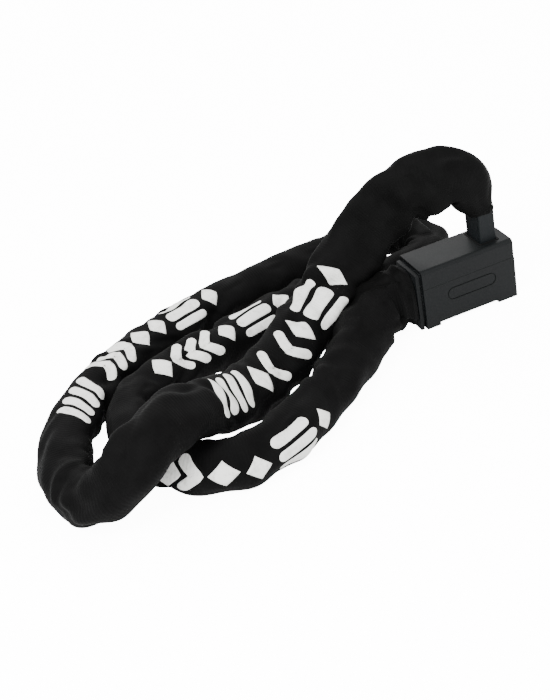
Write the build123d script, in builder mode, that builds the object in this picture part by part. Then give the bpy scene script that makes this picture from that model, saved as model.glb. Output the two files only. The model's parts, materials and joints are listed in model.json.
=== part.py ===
from build123d import *
import math
import os

os.makedirs("parts", exist_ok=True)

# Chain lock, millimetres. The origin is the middle of the lock body's underside.
# +X runs along the body from the chain's fixed end to the plug, +Y to the back, +Z up.

# lock body
body_left = -28.5
body_right = 33.5
body_back = 13.6
body_top = 39.5
split_height = 27.3
cover_wall = 2.0
corner_chamfer = 9.0
cap_left = -33.5
cap_right = -29.6
foot_height = 2.0
recess_left = -19.5
recess_right = 20.5
floor_top = 4.2
cap_half_width = 11.8
cap_top = 37.4
cap_neck_half_width = 10.8

# die-cast case inside the covers
case_left = -28.3
case_right = 31.3
case_back = 11.3
case_top = 37.2

# plug and its socket
plug_x = 20.7
plug_y = 1.2
shroud_length = 11.0
shroud_depth = 16.8
shroud_bottom = 37.6
shroud_top = 60.0
stud_length = 8.0
stud_depth = 12.5
stud_bottom = 22.0
notch_depth = 4.3
eye_x = 19.2
eye_height = 67.0
eye_radius = 7.0
eye_hole_radius = 4.4
eye_thickness = 5.2
liner_gap = 0.3
liner_wall = 1.4
liner_bottom = 21.0

# bolt and key cylinder
bolt_low = 25.1
bolt_high = 30.9
bolt_half_width = 4.9
bolt_tip = 15.9
core_x = -1.0
crank = 3.2
crank_pin_radius = 1.5
core_radius = 5.9
shell_radius = 7.8
shell_top = 23.5
disc_radius = 4.5

# chain of square bar, and its textile sleeve
bar = 5.0
link_inner_length = 19.0
link_inner_width = 8.6
link_length = link_inner_length + 2 * bar
link_width = link_inner_width + 2 * bar
short_reach = link_inner_length / 2 - link_inner_width / 2
long_reach = link_inner_length / 2 + bar / 2
anchor_height = 20.0
anchor_link_x = -28.5
sleeve_radius = 13.5
sleeve_wall = 1.2

# sliding dust cover under the keyway, held by two rails with lips
rail_left = -14.5
rail_inside = 9.4
rail_outside = 11.0
lip_inside = 7.6
lip_bottom = 0.35
lip_top = 0.75
slide_left = -10.5
slide_right = 6.5
slide_half_width = 9.2
slide_bottom = 1.0
slide_top = 1.85

# route of the sleeve's centre line, from the plug round both turns of the loop to the lock
route = [
    (20.7, 1.2, 62),
    (20.7, 1.2, 71),
    (17, 1.4, 81.5),
    (8.5, 2.6, 90),
    (-3.5, 6, 93),
    (-16, 12, 89),
    (-29, 18, 77),
    (-43, 22, 60),
    (-64, 19.5, 43),
    (-88, 7, 29),
    (-115, -8, 18),
    (-144, -25, 14.5),
    (-172, -44, 24),
    (-197, -64, 44),
    (-221, -80, 46),
    (-242, -83, 29),
    (-258, -65, 14),
    (-262.5, -36, 13.6),
    (-253.5, -6, 13.6),
    (-234.5, 23, 13.6),
    (-203.5, 49, 13.6),
    (-165.5, 67, 13.6),
    (-123.5, 79, 13.6),
    (-80.5, 85, 13.6),
    (-39.5, 88, 13.6),
    (-9, 91, 13.6),
    (11.5, 79, 13.6),
    (12.5, 53, 13.6),
    (-5, 37, 13.6),
    (-37.5, 39, 13.6),
    (-73.5, 48, 13.6),
    (-109.5, 41, 13.6),
    (-145.5, 30, 13.6),
    (-178.5, 24, 13.6),
    (-202.5, 13, 13.6),
    (-216.5, -9, 13.6),
    (-217.5, -37, 13.6),
    (-206.5, -65, 13.6),
    (-184, -82, 13.6),
    (-157, -81, 13.6),
    (-130.5, -66, 13.6),
    (-103.5, -46, 13.6),
    (-79.5, -26, 14.5),
    (-63, -9, 17.5),
    (-49, 0, 20),
    (-33.5, 0, 20),
]
lift_points = 11  # the stretch that rises with the plug ends in the run after these points


def block(x_range, y_range, z_range, mode=Mode.ADD):
    # a box between two limits on each axis, in the part that is being built
    middle = [(low + high) / 2 for low, high in (x_range, y_range, z_range)]
    with Locations(tuple(middle)):
        Box(
            x_range[1] - x_range[0],
            y_range[1] - y_range[0],
            z_range[1] - z_range[0],
            mode=mode,
        )


def bore(place, radius, length, axis=(0, 0, 1), mode=Mode.SUBTRACT):
    # a round bar or hole that starts at a place and runs along an axis
    with Locations(Plane(origin=place, z_dir=axis)):
        Cylinder(radius, length, align=(Align.CENTER, Align.CENTER, Align.MIN), mode=mode)


def body_plan(inset):
    # plan of the lock body: a rectangle whose back right corner is cut off
    left = body_left + inset
    right = body_right - inset
    back = body_back - inset
    cut = corner_chamfer - inset * (2 - math.sqrt(2))
    Polygon(
        (left, -back),
        (right, -back),
        (right, back - cut),
        (right - cut, back),
        (left, back),
        align=None,
    )


def finish(piece, name):
    piece.label = name
    export_step(piece, f"parts/{name}.step")


# ---- covers ----
screw_places = [(-16, 8.6), (-16, -8.6), (29.4, -8.6)]
screw_radius = 1.25
screw_head_radius = 2.3
screw_seat = 3.4
screw_length = 31.6
screw_head_height = 1.3
boss_radius = 2.0
boss_bottom = 30.3
seal_wall = 0.9
seal_gap = 0.2
seal_length = shroud_length + 2 * (seal_wall + seal_gap)
seal_depth = shroud_depth + 2 * (seal_wall + seal_gap)
badge_x = 3.5
badge_z = 18.3
badge_length = 33.0
badge_height = 8.3
badge_depth = 0.5

with BuildPart() as upper_cover:
    with BuildSketch(Plane.XY.offset(split_height)):
        body_plan(0)
    extrude(amount=body_top - split_height)
    long_edges = upper_cover.edges().filter_by(Axis.X).group_by(Axis.Z)[-1]
    fillet(long_edges.sort_by(Axis.Y)[0], 2.6)
    fillet(upper_cover.edges().filter_by(Axis.X).group_by(Axis.Z)[-1].sort_by(Axis.Y)[-1], 0.8)
    fillet(upper_cover.faces().sort_by(Axis.X)[-1].edges().sort_by(Axis.Z)[-1], 0.8)
    with BuildSketch(Plane.XY.offset(split_height)):
        body_plan(cover_wall)
    extrude(amount=case_top + 0.2 - split_height, mode=Mode.SUBTRACT)
    block(
        (body_left, body_left + cover_wall + 0.1),
        (-case_back - 0.15, case_back + 0.15),
        (split_height, case_top + 0.2),
        Mode.SUBTRACT,
    )
    block(
        (plug_x - seal_length / 2, plug_x + seal_length / 2),
        (plug_y - seal_depth / 2, plug_y + seal_depth / 2),
        (case_top, body_top),
        Mode.SUBTRACT,
    )
    for x, y in screw_places:
        bore((x, y, boss_bottom), boss_radius, case_top + 1 - boss_bottom, mode=Mode.ADD)
        bore((x, y, boss_bottom), screw_radius, 6)
finish(upper_cover.part, "upper_cover")

with BuildPart() as lower_cover:
    with BuildSketch():
        body_plan(0)
    extrude(amount=split_height - 0.1)
    chamfer(lower_cover.edges().group_by(Axis.Z)[-1], 0.25)
    with BuildSketch(Plane.XY.offset(floor_top)):
        body_plan(cover_wall)
    extrude(amount=split_height - floor_top, mode=Mode.SUBTRACT)
    block(
        (body_left, body_left + cover_wall + 0.1),
        (-case_back - 0.15, case_back + 0.15),
        (floor_top, split_height),
        Mode.SUBTRACT,
    )
    block((recess_left, recess_right), (-body_back, body_back), (0, foot_height), Mode.SUBTRACT)
    bore((core_x, 0, 0), core_radius + 0.4, floor_top)
    for x, y in screw_places:
        bore((x, y, 0), 1.4, floor_top)
        bore((x, y, 0), screw_head_radius + 0.15, screw_seat)
    for side in (-1, 1):
        rail = sorted((side * rail_inside, side * rail_outside))
        lip = sorted((side * lip_inside, side * rail_outside))
        block((rail_left, recess_right), tuple(rail), (lip_bottom, foot_height))
        block((rail_left, recess_right), tuple(lip), (lip_bottom, lip_top))
    face = Plane(origin=(badge_x, -body_back, badge_z), x_dir=(1, 0, 0), z_dir=(0, -1, 0))
    with BuildSketch(face):
        SlotOverall(badge_length, badge_height)
        SlotOverall(badge_length - 1.2, badge_height - 1.2, mode=Mode.SUBTRACT)
    extrude(amount=-badge_depth, mode=Mode.SUBTRACT)
finish(lower_cover.part, "lower_cover")

cap_hole = 10.6
cap_screw_radius = 1.25
cap_screw_head = 2.1
cap_screw_length = 10.5
cap_screws = [(-7.6, 6.0), (7.6, 6.0), (-7.6, 33.6), (7.6, 33.6)]
with BuildPart() as end_cap:
    block((cap_left, cap_right), (-cap_half_width, cap_half_width), (0, cap_top))
    outer_face = end_cap.faces().sort_by(Axis.X)[0]
    chamfer(outer_face.edges(), 2.6, 1.6)
    block(
        (cap_right, case_left),
        (-cap_neck_half_width, cap_neck_half_width),
        (floor_top + 0.2, case_top - 0.2),
    )
    bore((cap_left, 0, anchor_height), cap_hole, case_left - cap_left, (1, 0, 0))
    for y, z in cap_screws:
        bore((cap_left, y, z), 1.4, case_left - cap_left, (1, 0, 0))
        bore((cap_left, y, z), cap_screw_head + 0.1, 2.2, (1, 0, 0))
finish(end_cap.part, "end_cap")

with BuildPart() as slot_seal:
    block(
        (plug_x - seal_length / 2, plug_x + seal_length / 2),
        (plug_y - seal_depth / 2, plug_y + seal_depth / 2),
        (case_top + 0.2, body_top + 0.4),
    )
    fillet(slot_seal.edges().filter_by(Axis.Z), 0.4)
    block(
        (plug_x - shroud_length / 2 - seal_gap, plug_x + shroud_length / 2 + seal_gap),
        (plug_y - shroud_depth / 2 - seal_gap, plug_y + shroud_depth / 2 + seal_gap),
        (case_top, body_top + 1),
        Mode.SUBTRACT,
    )
finish(slot_seal.part, "slot_seal")

# ---- case, with its socket, bolt channel, cylinder bore and chain slot ----
liner_half_x = stud_length / 2 + liner_gap + liner_wall
liner_half_y = stud_depth / 2 + liner_gap + liner_wall
link_slot_right = -13.2
link_slot_half = link_width / 2 + 0.4
anchor_pin_x = anchor_link_x + short_reach + 0.7
anchor_pin_radius = 3.0
bolt_tail = core_x - crank / math.sqrt(2) - 4.8
plate_left = -11.5
plate_right = 14.6
plate_half = 8.3
plate_screws = [(-9.6, 6.4), (12.6, 6.4), (-9.6, -6.4), (12.6, -6.4)]
plate_screw_radius = 1.0
plate_screw_head = 1.8
plate_screw_length = 6.0
plate_thickness = 2.0

with BuildPart() as lock_case:
    block((case_left, case_right), (-case_back, case_back), (floor_top, case_top))
    corner = lock_case.edges().filter_by(Axis.Z).group_by(Axis.X)[-1].sort_by(Axis.Y)[-1]
    chamfer(corner, 7.6)
    block(
        (plug_x - liner_half_x, plug_x + liner_half_x),
        (plug_y - liner_half_y, plug_y + liner_half_y),
        (liner_bottom, case_top),
        Mode.SUBTRACT,
    )
    bore((core_x, 0, floor_top), shell_radius, bolt_low - floor_top)
    block(
        (bolt_tail - 0.5, plug_x - liner_half_x),
        (-bolt_half_width - 0.1, bolt_half_width + 0.1),
        (bolt_low - 0.1, case_top),
        Mode.SUBTRACT,
    )
    block(
        (plate_left, plate_right),
        (-plate_half, plate_half),
        (bolt_high + 0.1, case_top),
        Mode.SUBTRACT,
    )
    for x, y in plate_screws:
        bore((x, y, bolt_high - 5), plate_screw_radius + 0.02, 6)
    block(
        (case_left, link_slot_right),
        (-bar / 2 - 0.4, bar / 2 + 0.4),
        (anchor_height - link_slot_half, anchor_height + link_slot_half),
        Mode.SUBTRACT,
    )
    bore((anchor_pin_x, case_back, anchor_height), anchor_pin_radius, 2 * case_back, (0, -1, 0))
    for x, y in screw_places:
        bore((x, y, floor_top), 1.5, case_top - floor_top)
        bore((x, y, boss_bottom - 0.1), boss_radius + 0.15, case_top - boss_bottom + 0.1)
    for y, z in cap_screws:
        bore((case_left, y, z), cap_screw_radius, 8, (1, 0, 0))
finish(lock_case.part, "lock_case")

with BuildPart() as socket_liner:
    block(
        (plug_x - liner_half_x, plug_x + liner_half_x),
        (plug_y - liner_half_y, plug_y + liner_half_y),
        (liner_bottom, case_top),
    )
    chamfer(socket_liner.edges().filter_by(Axis.Z), 1.2)
    block(
        (plug_x - stud_length / 2 - liner_gap, plug_x + stud_length / 2 + liner_gap),
        (plug_y - stud_depth / 2 - liner_gap, plug_y + stud_depth / 2 + liner_gap),
        (liner_bottom, case_top),
        Mode.SUBTRACT,
    )
    block(
        (plug_x - liner_half_x, plug_x),
        (-bolt_half_width - 0.1, bolt_half_width + 0.1),
        (bolt_low - 0.1, bolt_high + 0.1),
        Mode.SUBTRACT,
    )
finish(socket_liner.part, "socket_liner")

with BuildPart() as bolt_plate:
    block(
        (plate_left + 0.1, plate_right - 0.1),
        (-plate_half + 0.1, plate_half - 0.1),
        (bolt_high + 0.1, bolt_high + 0.1 + plate_thickness),
    )
    for x, y in plate_screws:
        bore((x, y, bolt_high), 1.1, 3)
finish(bolt_plate.part, "bolt_plate")

with BuildPart() as anchor_pin:
    pin_end = case_back - 0.2
    pin_place = (anchor_pin_x, pin_end, anchor_height)
    bore(pin_place, anchor_pin_radius, 2 * pin_end, (0, -1, 0), Mode.ADD)
    chamfer(anchor_pin.edges().filter_by(GeomType.CIRCLE), 0.4)
finish(anchor_pin.part, "anchor_pin")


def screw(place, axis, shank, head, length, head_height):
    # a cylinder head screw whose shank starts at a place and runs along an axis
    bore(place, shank, length, axis, Mode.ADD)
    back = tuple(-part for part in axis)
    bore(place, head, head_height, back, Mode.ADD)
    socket = tuple(spot + head_height * part for spot, part in zip(place, back))
    with BuildSketch(Plane(origin=socket, z_dir=axis)) as hexagon:
        RegularPolygon(head * 0.5, 6)
    extrude(hexagon.sketch, amount=head_height * 0.6, mode=Mode.SUBTRACT)


with BuildPart() as cover_screws:
    for x, y in screw_places:
        place = (x, y, screw_seat)
        screw(place, (0, 0, 1), screw_radius, screw_head_radius, screw_length, screw_head_height)
finish(cover_screws.part, "cover_screws")

with BuildPart() as end_cap_screws:
    for y, z in cap_screws:
        place = (cap_left + 2.2, y, z)
        screw(place, (1, 0, 0), cap_screw_radius, cap_screw_head, cap_screw_length, 1.6)
finish(end_cap_screws.part, "end_cap_screws")

with BuildPart() as bolt_plate_screws:
    for x, y in plate_screws:
        place = (x, y, bolt_high + 0.1 + plate_thickness)
        screw(place, (0, 0, -1), plate_screw_radius, plate_screw_head, plate_screw_length, 1.2)
finish(bolt_plate_screws.part, "bolt_plate_screws")

# ---- key cylinder ----
core_bottom = 2.4
core_top = 23.9
disc_count = 6
disc_thickness = 1.8
spacer_thickness = 0.7
disc_start = 5.0
sidebar_length = 15.5
keyway_radius = 3.1
keyway_width = 7.0
keyway_flat = 3.4
disc_hole_radius = 2.7
spacer_hole_radius = 3.2
sidebar_notch = 2.2
cam_neck = 0.45
clip_thickness = 0.7

with BuildPart() as cylinder_shell:
    bore((core_x, 0, floor_top), shell_radius, shell_top - floor_top, mode=Mode.ADD)
    bore((core_x, 0, floor_top), core_radius + 0.05, shell_top - floor_top)
    block(
        (core_x - 1.1, core_x + 1.1),
        (core_radius - 0.5, core_radius + 1.0),
        (disc_start - 0.3, disc_start + sidebar_length + 0.7),
        Mode.SUBTRACT,
    )
finish(cylinder_shell.part, "cylinder_shell")

with BuildPart() as core:
    bore((core_x, 0, core_bottom), core_radius, core_top - core_bottom, mode=Mode.ADD)
    chamfer(core.edges().group_by(Axis.Z)[0], 0.5)
    bore((core_x, 0, disc_start - 0.1), disc_radius + 0.1, 15.4)
    with BuildSketch(Plane.XY.offset(core_bottom)):
        with Locations((core_x, 0)):
            Circle(keyway_radius)
            Rectangle(keyway_width, keyway_flat, align=(Align.CENTER, Align.MAX), mode=Mode.SUBTRACT)
    extrude(amount=disc_start - core_bottom, mode=Mode.SUBTRACT)
    block(
        (core_x - 1.0, core_x + 1.0),
        (disc_radius - 0.4, core_radius + 0.5),
        (disc_start, disc_start + sidebar_length),
        Mode.SUBTRACT,
    )
    with BuildSketch(Plane.XY.offset(shell_top + 0.05)):
        with Locations((core_x, 0)):
            Circle(core_radius + 0.2)
            Circle(core_radius - 1.0, mode=Mode.SUBTRACT)
    extrude(amount=core_top, mode=Mode.SUBTRACT)
finish(core.part, "core")

with BuildPart() as lock_discs:
    for number in range(disc_count):
        bottom = disc_start + number * (disc_thickness + spacer_thickness)
        with BuildSketch(Plane.XY.offset(bottom)):
            with Locations((core_x, 0)):
                Circle(disc_radius)
                Circle(disc_hole_radius, mode=Mode.SUBTRACT)
            with Locations((core_x, -1.9)):
                Rectangle(5.4, 3.0)
            with Locations((core_x, disc_radius)):
                Rectangle(sidebar_notch, 2.0, mode=Mode.SUBTRACT)
        extrude(amount=disc_thickness - 0.05)
    bore((core_x, 0, disc_start), disc_radius, 15.0, mode=Mode.INTERSECT)
finish(lock_discs.part, "lock_discs")

with BuildPart() as disc_spacers:
    for number in range(disc_count):
        bottom = disc_start + number * (disc_thickness + spacer_thickness) + disc_thickness
        with BuildSketch(Plane.XY.offset(bottom)):
            with Locations((core_x, 0)):
                Circle(disc_radius)
                Circle(spacer_hole_radius, mode=Mode.SUBTRACT)
            with Locations((core_x, disc_radius)):
                Rectangle(sidebar_notch, 2.0, mode=Mode.SUBTRACT)
        extrude(amount=spacer_thickness - 0.05)
finish(disc_spacers.part, "disc_spacers")

with BuildPart() as sidebar:
    block(
        (core_x - 0.9, core_x + 0.9),
        (disc_radius - 0.7, core_radius - 0.1),
        (disc_start + 0.2, disc_start + sidebar_length - 0.5),
    )
    fillet(sidebar.edges().filter_by(Axis.Z), 0.3)
finish(sidebar.part, "sidebar")

with BuildPart() as core_clip:
    with BuildSketch(Plane.XY.offset(shell_top + 0.1)):
        with Locations((core_x, 0)):
            Circle(core_radius + 1.0)
            Circle(core_radius - 0.95, mode=Mode.SUBTRACT)
        with Locations((core_x + core_radius, 0)):
            Rectangle(5, 3.2, mode=Mode.SUBTRACT)
    extrude(amount=clip_thickness)
finish(core_clip.part, "core_clip")

# the crank stands at the front left at rest, and turns to the front right
crank_x = core_x - crank / math.sqrt(2)
crank_y = -crank / math.sqrt(2)
with BuildPart() as drive_cam:
    bore((core_x, 0, core_top), core_radius - 1.0, cam_neck, mode=Mode.ADD)
    cam_height = bolt_low - 0.6 - core_top
    bore((core_x, 0, core_top + cam_neck), core_radius - 0.2, cam_height, mode=Mode.ADD)
    bore((crank_x, crank_y, core_top), crank_pin_radius, bolt_high - 0.4 - core_top, mode=Mode.ADD)
    chamfer(drive_cam.edges().group_by(Axis.Z)[-1], 0.3)
finish(drive_cam.part, "drive_cam")

slot_play = 0.25
with BuildPart() as locking_bolt:
    block((bolt_tail, bolt_tip), (-bolt_half_width, bolt_half_width), (bolt_low, bolt_high))
    chamfer(locking_bolt.faces().sort_by(Axis.X)[-1].edges(), 0.8)
    block(
        (crank_x - crank_pin_radius - slot_play, crank_x + crank_pin_radius + slot_play),
        (-bolt_half_width - 1, crank_y + crank_pin_radius + slot_play),
        (bolt_low, bolt_high),
        Mode.SUBTRACT,
    )
finish(locking_bolt.part, "locking_bolt")

with BuildPart() as dust_cover:
    block(
        (slide_left, slide_right),
        (-slide_half_width, slide_half_width),
        (slide_bottom, slide_top),
    )
    for rib_x in (-7.5, -5.5, -3.5):
        block((rib_x - 0.4, rib_x + 0.4), (-5, 5), (slide_bottom - 0.5, slide_bottom))
finish(dust_cover.part, "dust_cover")

# ---- plug ----
pin_radius = 1.25
pin_height = 50.0
pin_left = plug_x - stud_length / 2 - 0.8
pin_length = stud_length + 1.6
eye_front = plug_y - eye_thickness / 2
eye_back = plug_y + eye_thickness / 2

with BuildPart() as stud:
    block(
        (plug_x - stud_length / 2, plug_x + stud_length / 2),
        (plug_y - stud_depth / 2, plug_y + stud_depth / 2),
        (stud_bottom, shroud_top),
    )
    chamfer(stud.edges().group_by(Axis.Z)[0], 1.2)
    block(
        (plug_x - stud_length / 2 - 1, plug_x - stud_length / 2 + notch_depth),
        (plug_y - stud_depth, plug_y + stud_depth),
        (bolt_low - 0.2, bolt_high + 0.4),
        Mode.SUBTRACT,
    )
    block(
        (plug_x - 5.0, plug_x + stud_length / 2),
        (eye_front, eye_back),
        (shroud_top - 2, shroud_top + 3),
    )
    bore((eye_x, eye_front, eye_height), eye_radius, eye_thickness, (0, 1, 0), Mode.ADD)
    bore((eye_x, eye_front, eye_height), eye_hole_radius, eye_thickness, (0, 1, 0))
    bore((pin_left, plug_y, pin_height), pin_radius, pin_length, (1, 0, 0))
finish(stud.part, "stud")

with BuildPart() as stud_shroud:
    block(
        (plug_x - shroud_length / 2, plug_x + shroud_length / 2),
        (plug_y - shroud_depth / 2, plug_y + shroud_depth / 2),
        (shroud_bottom, shroud_top),
    )
    fillet(stud_shroud.edges().filter_by(Axis.Z), 1.0)
    block(
        (plug_x - stud_length / 2, plug_x + stud_length / 2),
        (plug_y - stud_depth / 2, plug_y + stud_depth / 2),
        (shroud_bottom, shroud_top),
        Mode.SUBTRACT,
    )
    bore((pin_left, plug_y, pin_height), pin_radius, pin_length, (1, 0, 0))
    block(
        (plug_x - 5.0, plug_x),
        (eye_front, eye_back),
        (shroud_top - 2, shroud_top),
        Mode.SUBTRACT,
    )
finish(stud_shroud.part, "stud_shroud")

with BuildPart() as stud_pin:
    bore((pin_left, plug_y, pin_height), pin_radius, pin_length, (1, 0, 0), Mode.ADD)
finish(stud_pin.part, "stud_pin")

with BuildPart() as sleeve_neck:
    bore((plug_x, plug_y, shroud_top), sleeve_radius, route[0][2] - shroud_top, mode=Mode.ADD)
    block(
        (plug_x - 8.6, plug_x + 5.6),
        (plug_y - 3.2, plug_y + 3.2),
        (shroud_top, route[0][2]),
        Mode.SUBTRACT,
    )
finish(sleeve_neck.part, "sleeve_neck")


# ---- sleeve ----
def corner_radii(points):
    # each arc takes 0.45 of the shorter of its two runs
    radii = []
    for before, here, after in zip(points, points[1:], points[2:]):
        arrive = Vector(here) - Vector(before)
        leave = Vector(after) - Vector(here)
        half_turn = math.radians(arrive.get_angle(leave)) / 2
        radii.append(0.45 * min(arrive.length, leave.length) / math.tan(half_turn))
    return radii


def sleeve_tube(points, radii, name):
    with BuildPart() as tube:
        with BuildLine() as centre_line:
            FilletPolyline(*points, radius=radii)
        line = centre_line.wire()
        with BuildSketch(Plane(origin=line @ 0, z_dir=line % 0)):
            Circle(sleeve_radius)
            Circle(sleeve_radius - sleeve_wall, mode=Mode.SUBTRACT)
        sweep(path=line)
    section = math.pi * (sleeve_radius**2 - (sleeve_radius - sleeve_wall) ** 2)
    print(name, "length", round(line.length, 1), "volume over section x length", end=" ")
    print(round(tube.part.volume / (section * line.length), 4))
    finish(tube.part, name)
    return line.length


radii = corner_radii(route)
print("sleeve radii", [round(radius, 1) for radius in radii])
split_place = tuple((one + two) / 2 for one, two in zip(route[lift_points - 1], route[lift_points]))
lift_length = sleeve_tube(route[:lift_points] + [split_place], radii[: lift_points - 1], "sleeve_lift")
run_length = sleeve_tube([split_place] + route[lift_points:], radii[lift_points - 1 :], "sleeve_run")
print("sleeve length", round(lift_length + run_length, 1))

# ---- chain ----
links_per_node = 4

with BuildPart() as link:
    with BuildSketch():
        SlotOverall(link_length, link_width)
        SlotOverall(link_inner_length, link_inner_width, mode=Mode.SUBTRACT)
    extrude(amount=bar / 2, both=True)
    chamfer(link.edges().group_by(Axis.Z)[0] + link.edges().group_by(Axis.Z)[-1], 1.5)


def level_share(line, place):
    # how much of the line's bend near a place is a level turn: 1 level, 0 upright
    before = line[max(place - 25, 0)]
    after = line[min(place + 25, len(line) - 1)]
    turn = (line[place] - before).cross(after - line[place])
    if turn.length < 0.01:
        return 0.5
    return abs(turn.Z) / turn.length


def reach(number, share):
    # how far a hinge point lies from its link's middle: where the chain turns level, a
    # link lying flat hinges close in and an upright one far out, and where it turns over
    # it is the other way round
    flat_reach = long_reach + (short_reach - long_reach) * share
    return flat_reach if number % 2 == 1 else short_reach + long_reach - flat_reach


def lay_chain(line, first, last, count, play):
    # hinge points of the chain along a line, each one chord of a link from the one before,
    # with the reach of each link's two hinges
    hinges = [first]
    reaches = []
    spot = 0
    share = 1
    for number in range(1, count + 1):
        ahead = min(spot + 35, len(line) - 1)
        next_share = level_share(line, ahead) if number < count else 0
        reaches.append((reach(number, share), reach(number, next_share)))
        chord = sum(reaches[-1]) + play
        share = next_share
        if number == count:
            break
        while spot < len(line) - 2 and (line[spot + 1] - hinges[-1]).length < chord:
            spot += 1
        near = (line[spot] - hinges[-1]).length
        far = (line[spot + 1] - hinges[-1]).length
        hinges.append(line[spot] + (line[spot + 1] - line[spot]) * ((chord - near) / (far - near)))
    hinges.append(last)
    miss = (hinges[-1] - hinges[-2]).length - sum(reaches[-1]) - play
    return hinges, reaches, miss


with BuildLine() as whole_route:
    FilletPolyline(*reversed(route), radius=list(reversed(radii)))
route_wire = whole_route.wire()
line_steps = 2600
route_line = [route_wire @ (step / line_steps) for step in range(line_steps + 1)]
anchor_hinge = Vector(anchor_link_x - long_reach, 0, anchor_height)
eye_hinge = Vector(eye_x, plug_y, eye_height)

link_count = 71
low_play = -0.9
high_play = 0.9
for _ in range(30):
    play = (low_play + high_play) / 2
    hinges, reaches, miss = lay_chain(route_line, anchor_hinge, eye_hinge, link_count, play)
    if miss > 0:
        low_play = play
    else:
        high_play = play
print("links", link_count + 1, "play", round(play, 3), "miss", round(miss, 3))

anchor_plane = Plane(origin=(anchor_link_x, 0, anchor_height), x_dir=(-1, 0, 0), z_dir=(0, 1, 0))
link_places = [Location(anchor_plane)]
for number in range(1, link_count + 1):
    rear, front = reaches[number - 1]
    along = (hinges[number] - hinges[number - 1]).normalized()
    level = Vector(0, 0, 1).cross(along).normalized()
    middle = hinges[number - 1] + (hinges[number] - hinges[number - 1]) * (rear / (rear + front))
    face_way = along.cross(level) if number % 2 == 1 else level
    link_places.append(Location(Plane(origin=middle, x_dir=along, z_dir=face_way)))

with BuildPart() as end_link:
    with Locations(link_places[-1]):
        add(link.part)
finish(end_link.part, "end_link")

# the links of a group touch where they hang in each other, so they are kept as solids of
# their own: a part that is being built would join them
for start in range(0, link_count, links_per_node):
    group = link_places[start : min(start + links_per_node, link_count)]
    chain_links = Compound(children=[link.part.moved(place) for place in group])
    finish(chain_links, f"chain_links_{start + 1:02d}_to_{start + len(group):02d}")
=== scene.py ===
import json
import math

import bpy
import numpy as np
from mathutils import Matrix, Vector


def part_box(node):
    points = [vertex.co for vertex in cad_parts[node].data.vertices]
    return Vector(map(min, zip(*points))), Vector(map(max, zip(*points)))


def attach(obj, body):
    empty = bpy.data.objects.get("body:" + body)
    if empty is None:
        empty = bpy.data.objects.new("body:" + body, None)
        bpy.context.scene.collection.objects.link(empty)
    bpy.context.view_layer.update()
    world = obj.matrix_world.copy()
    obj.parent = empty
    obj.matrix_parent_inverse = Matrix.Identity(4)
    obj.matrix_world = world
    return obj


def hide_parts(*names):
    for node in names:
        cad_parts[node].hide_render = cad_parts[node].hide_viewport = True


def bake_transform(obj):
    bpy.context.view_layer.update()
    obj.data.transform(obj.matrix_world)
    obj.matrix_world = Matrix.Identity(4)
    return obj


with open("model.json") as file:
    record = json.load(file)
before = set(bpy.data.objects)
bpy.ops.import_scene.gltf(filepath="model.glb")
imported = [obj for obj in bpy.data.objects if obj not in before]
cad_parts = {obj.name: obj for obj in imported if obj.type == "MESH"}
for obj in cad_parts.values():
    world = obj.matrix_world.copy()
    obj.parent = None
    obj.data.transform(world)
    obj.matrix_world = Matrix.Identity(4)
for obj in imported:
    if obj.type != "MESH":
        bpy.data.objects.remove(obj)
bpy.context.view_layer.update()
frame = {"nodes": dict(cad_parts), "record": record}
record = frame["record"]
mm = 0.001
print("frame loaded")

# three-quarter view from above the front left corner, in metres; lens and sensor in mm
cameraView = {
    "place": (-0.32716, -0.65643, 0.45522),
    "right": (0.90438688, -0.39385113, -0.16421222),
    "up": (0.34383135, 0.44469421, 0.82705929),
    "lens": 72.0,
    "sensor": 36.0,
}


def makeCamera():
    # its axes are the right and up ways, and their cross product, which points back
    data = bpy.data.cameras.new("studioCamera")
    data.lens = cameraView["lens"]
    data.sensor_width = cameraView["sensor"]
    data.clip_start = 0.01
    data.clip_end = 50
    camera = bpy.data.objects.new("studioCamera", data)
    bpy.context.scene.collection.objects.link(camera)
    right = Vector(cameraView["right"])
    up = Vector(cameraView["up"])
    turn = Matrix((right, up, right.cross(up))).transposed()
    camera.matrix_world = Matrix.Translation(cameraView["place"]) @ turn.to_4x4()
    bpy.context.scene.camera = camera


makeCamera()
print("camera placed")


def addNode(tree, kind, settings=None, links=None):
    # adds one node; settings are its properties or input values, links its inputs' sources
    node = tree.nodes.new(kind)
    for name, value in (settings or {}).items():
        if isinstance(name, str) and hasattr(node, name) and name not in node.inputs:
            setattr(node, name, value)
        else:
            node.inputs[name].default_value = value
    for name, source in (links or {}).items():
        tree.links.new(source, node.inputs[name])
    return node


def fromHex(code):
    # an sRGB hex colour as linear light
    parts = [int(code[i : i + 2], 16) / 255 for i in (1, 3, 5)]
    linear = [p / 12.92 if p <= 0.04045 else ((p + 0.055) / 1.055) ** 2.4 for p in parts]
    return (*linear, 1.0)


def newMaterial(name):
    # an empty material with one principled shader
    material = bpy.data.materials.new(name)
    material.use_nodes = True
    tree = material.node_tree
    tree.nodes.clear()
    output = tree.nodes.new("ShaderNodeOutputMaterial")
    shader = tree.nodes.new("ShaderNodeBsdfPrincipled")
    tree.links.new(shader.outputs[0], output.inputs[0])
    return material, tree, shader


clothLook = {
    "dark": "#030303",
    "light": "#080808",
    "roughness": 0.72,
    "sheen": 0.004,
    "ribMm": 1.7,  # real ribs are about 0.8 mm apart, drawn coarser to show
    "threadMm": 1.1,
    "printDark": "#b9b9b4",
    "printLight": "#e2e2de",
}
waveTurn = math.pi / 10  # a wave texture of scale 1 repeats after this many units


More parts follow.
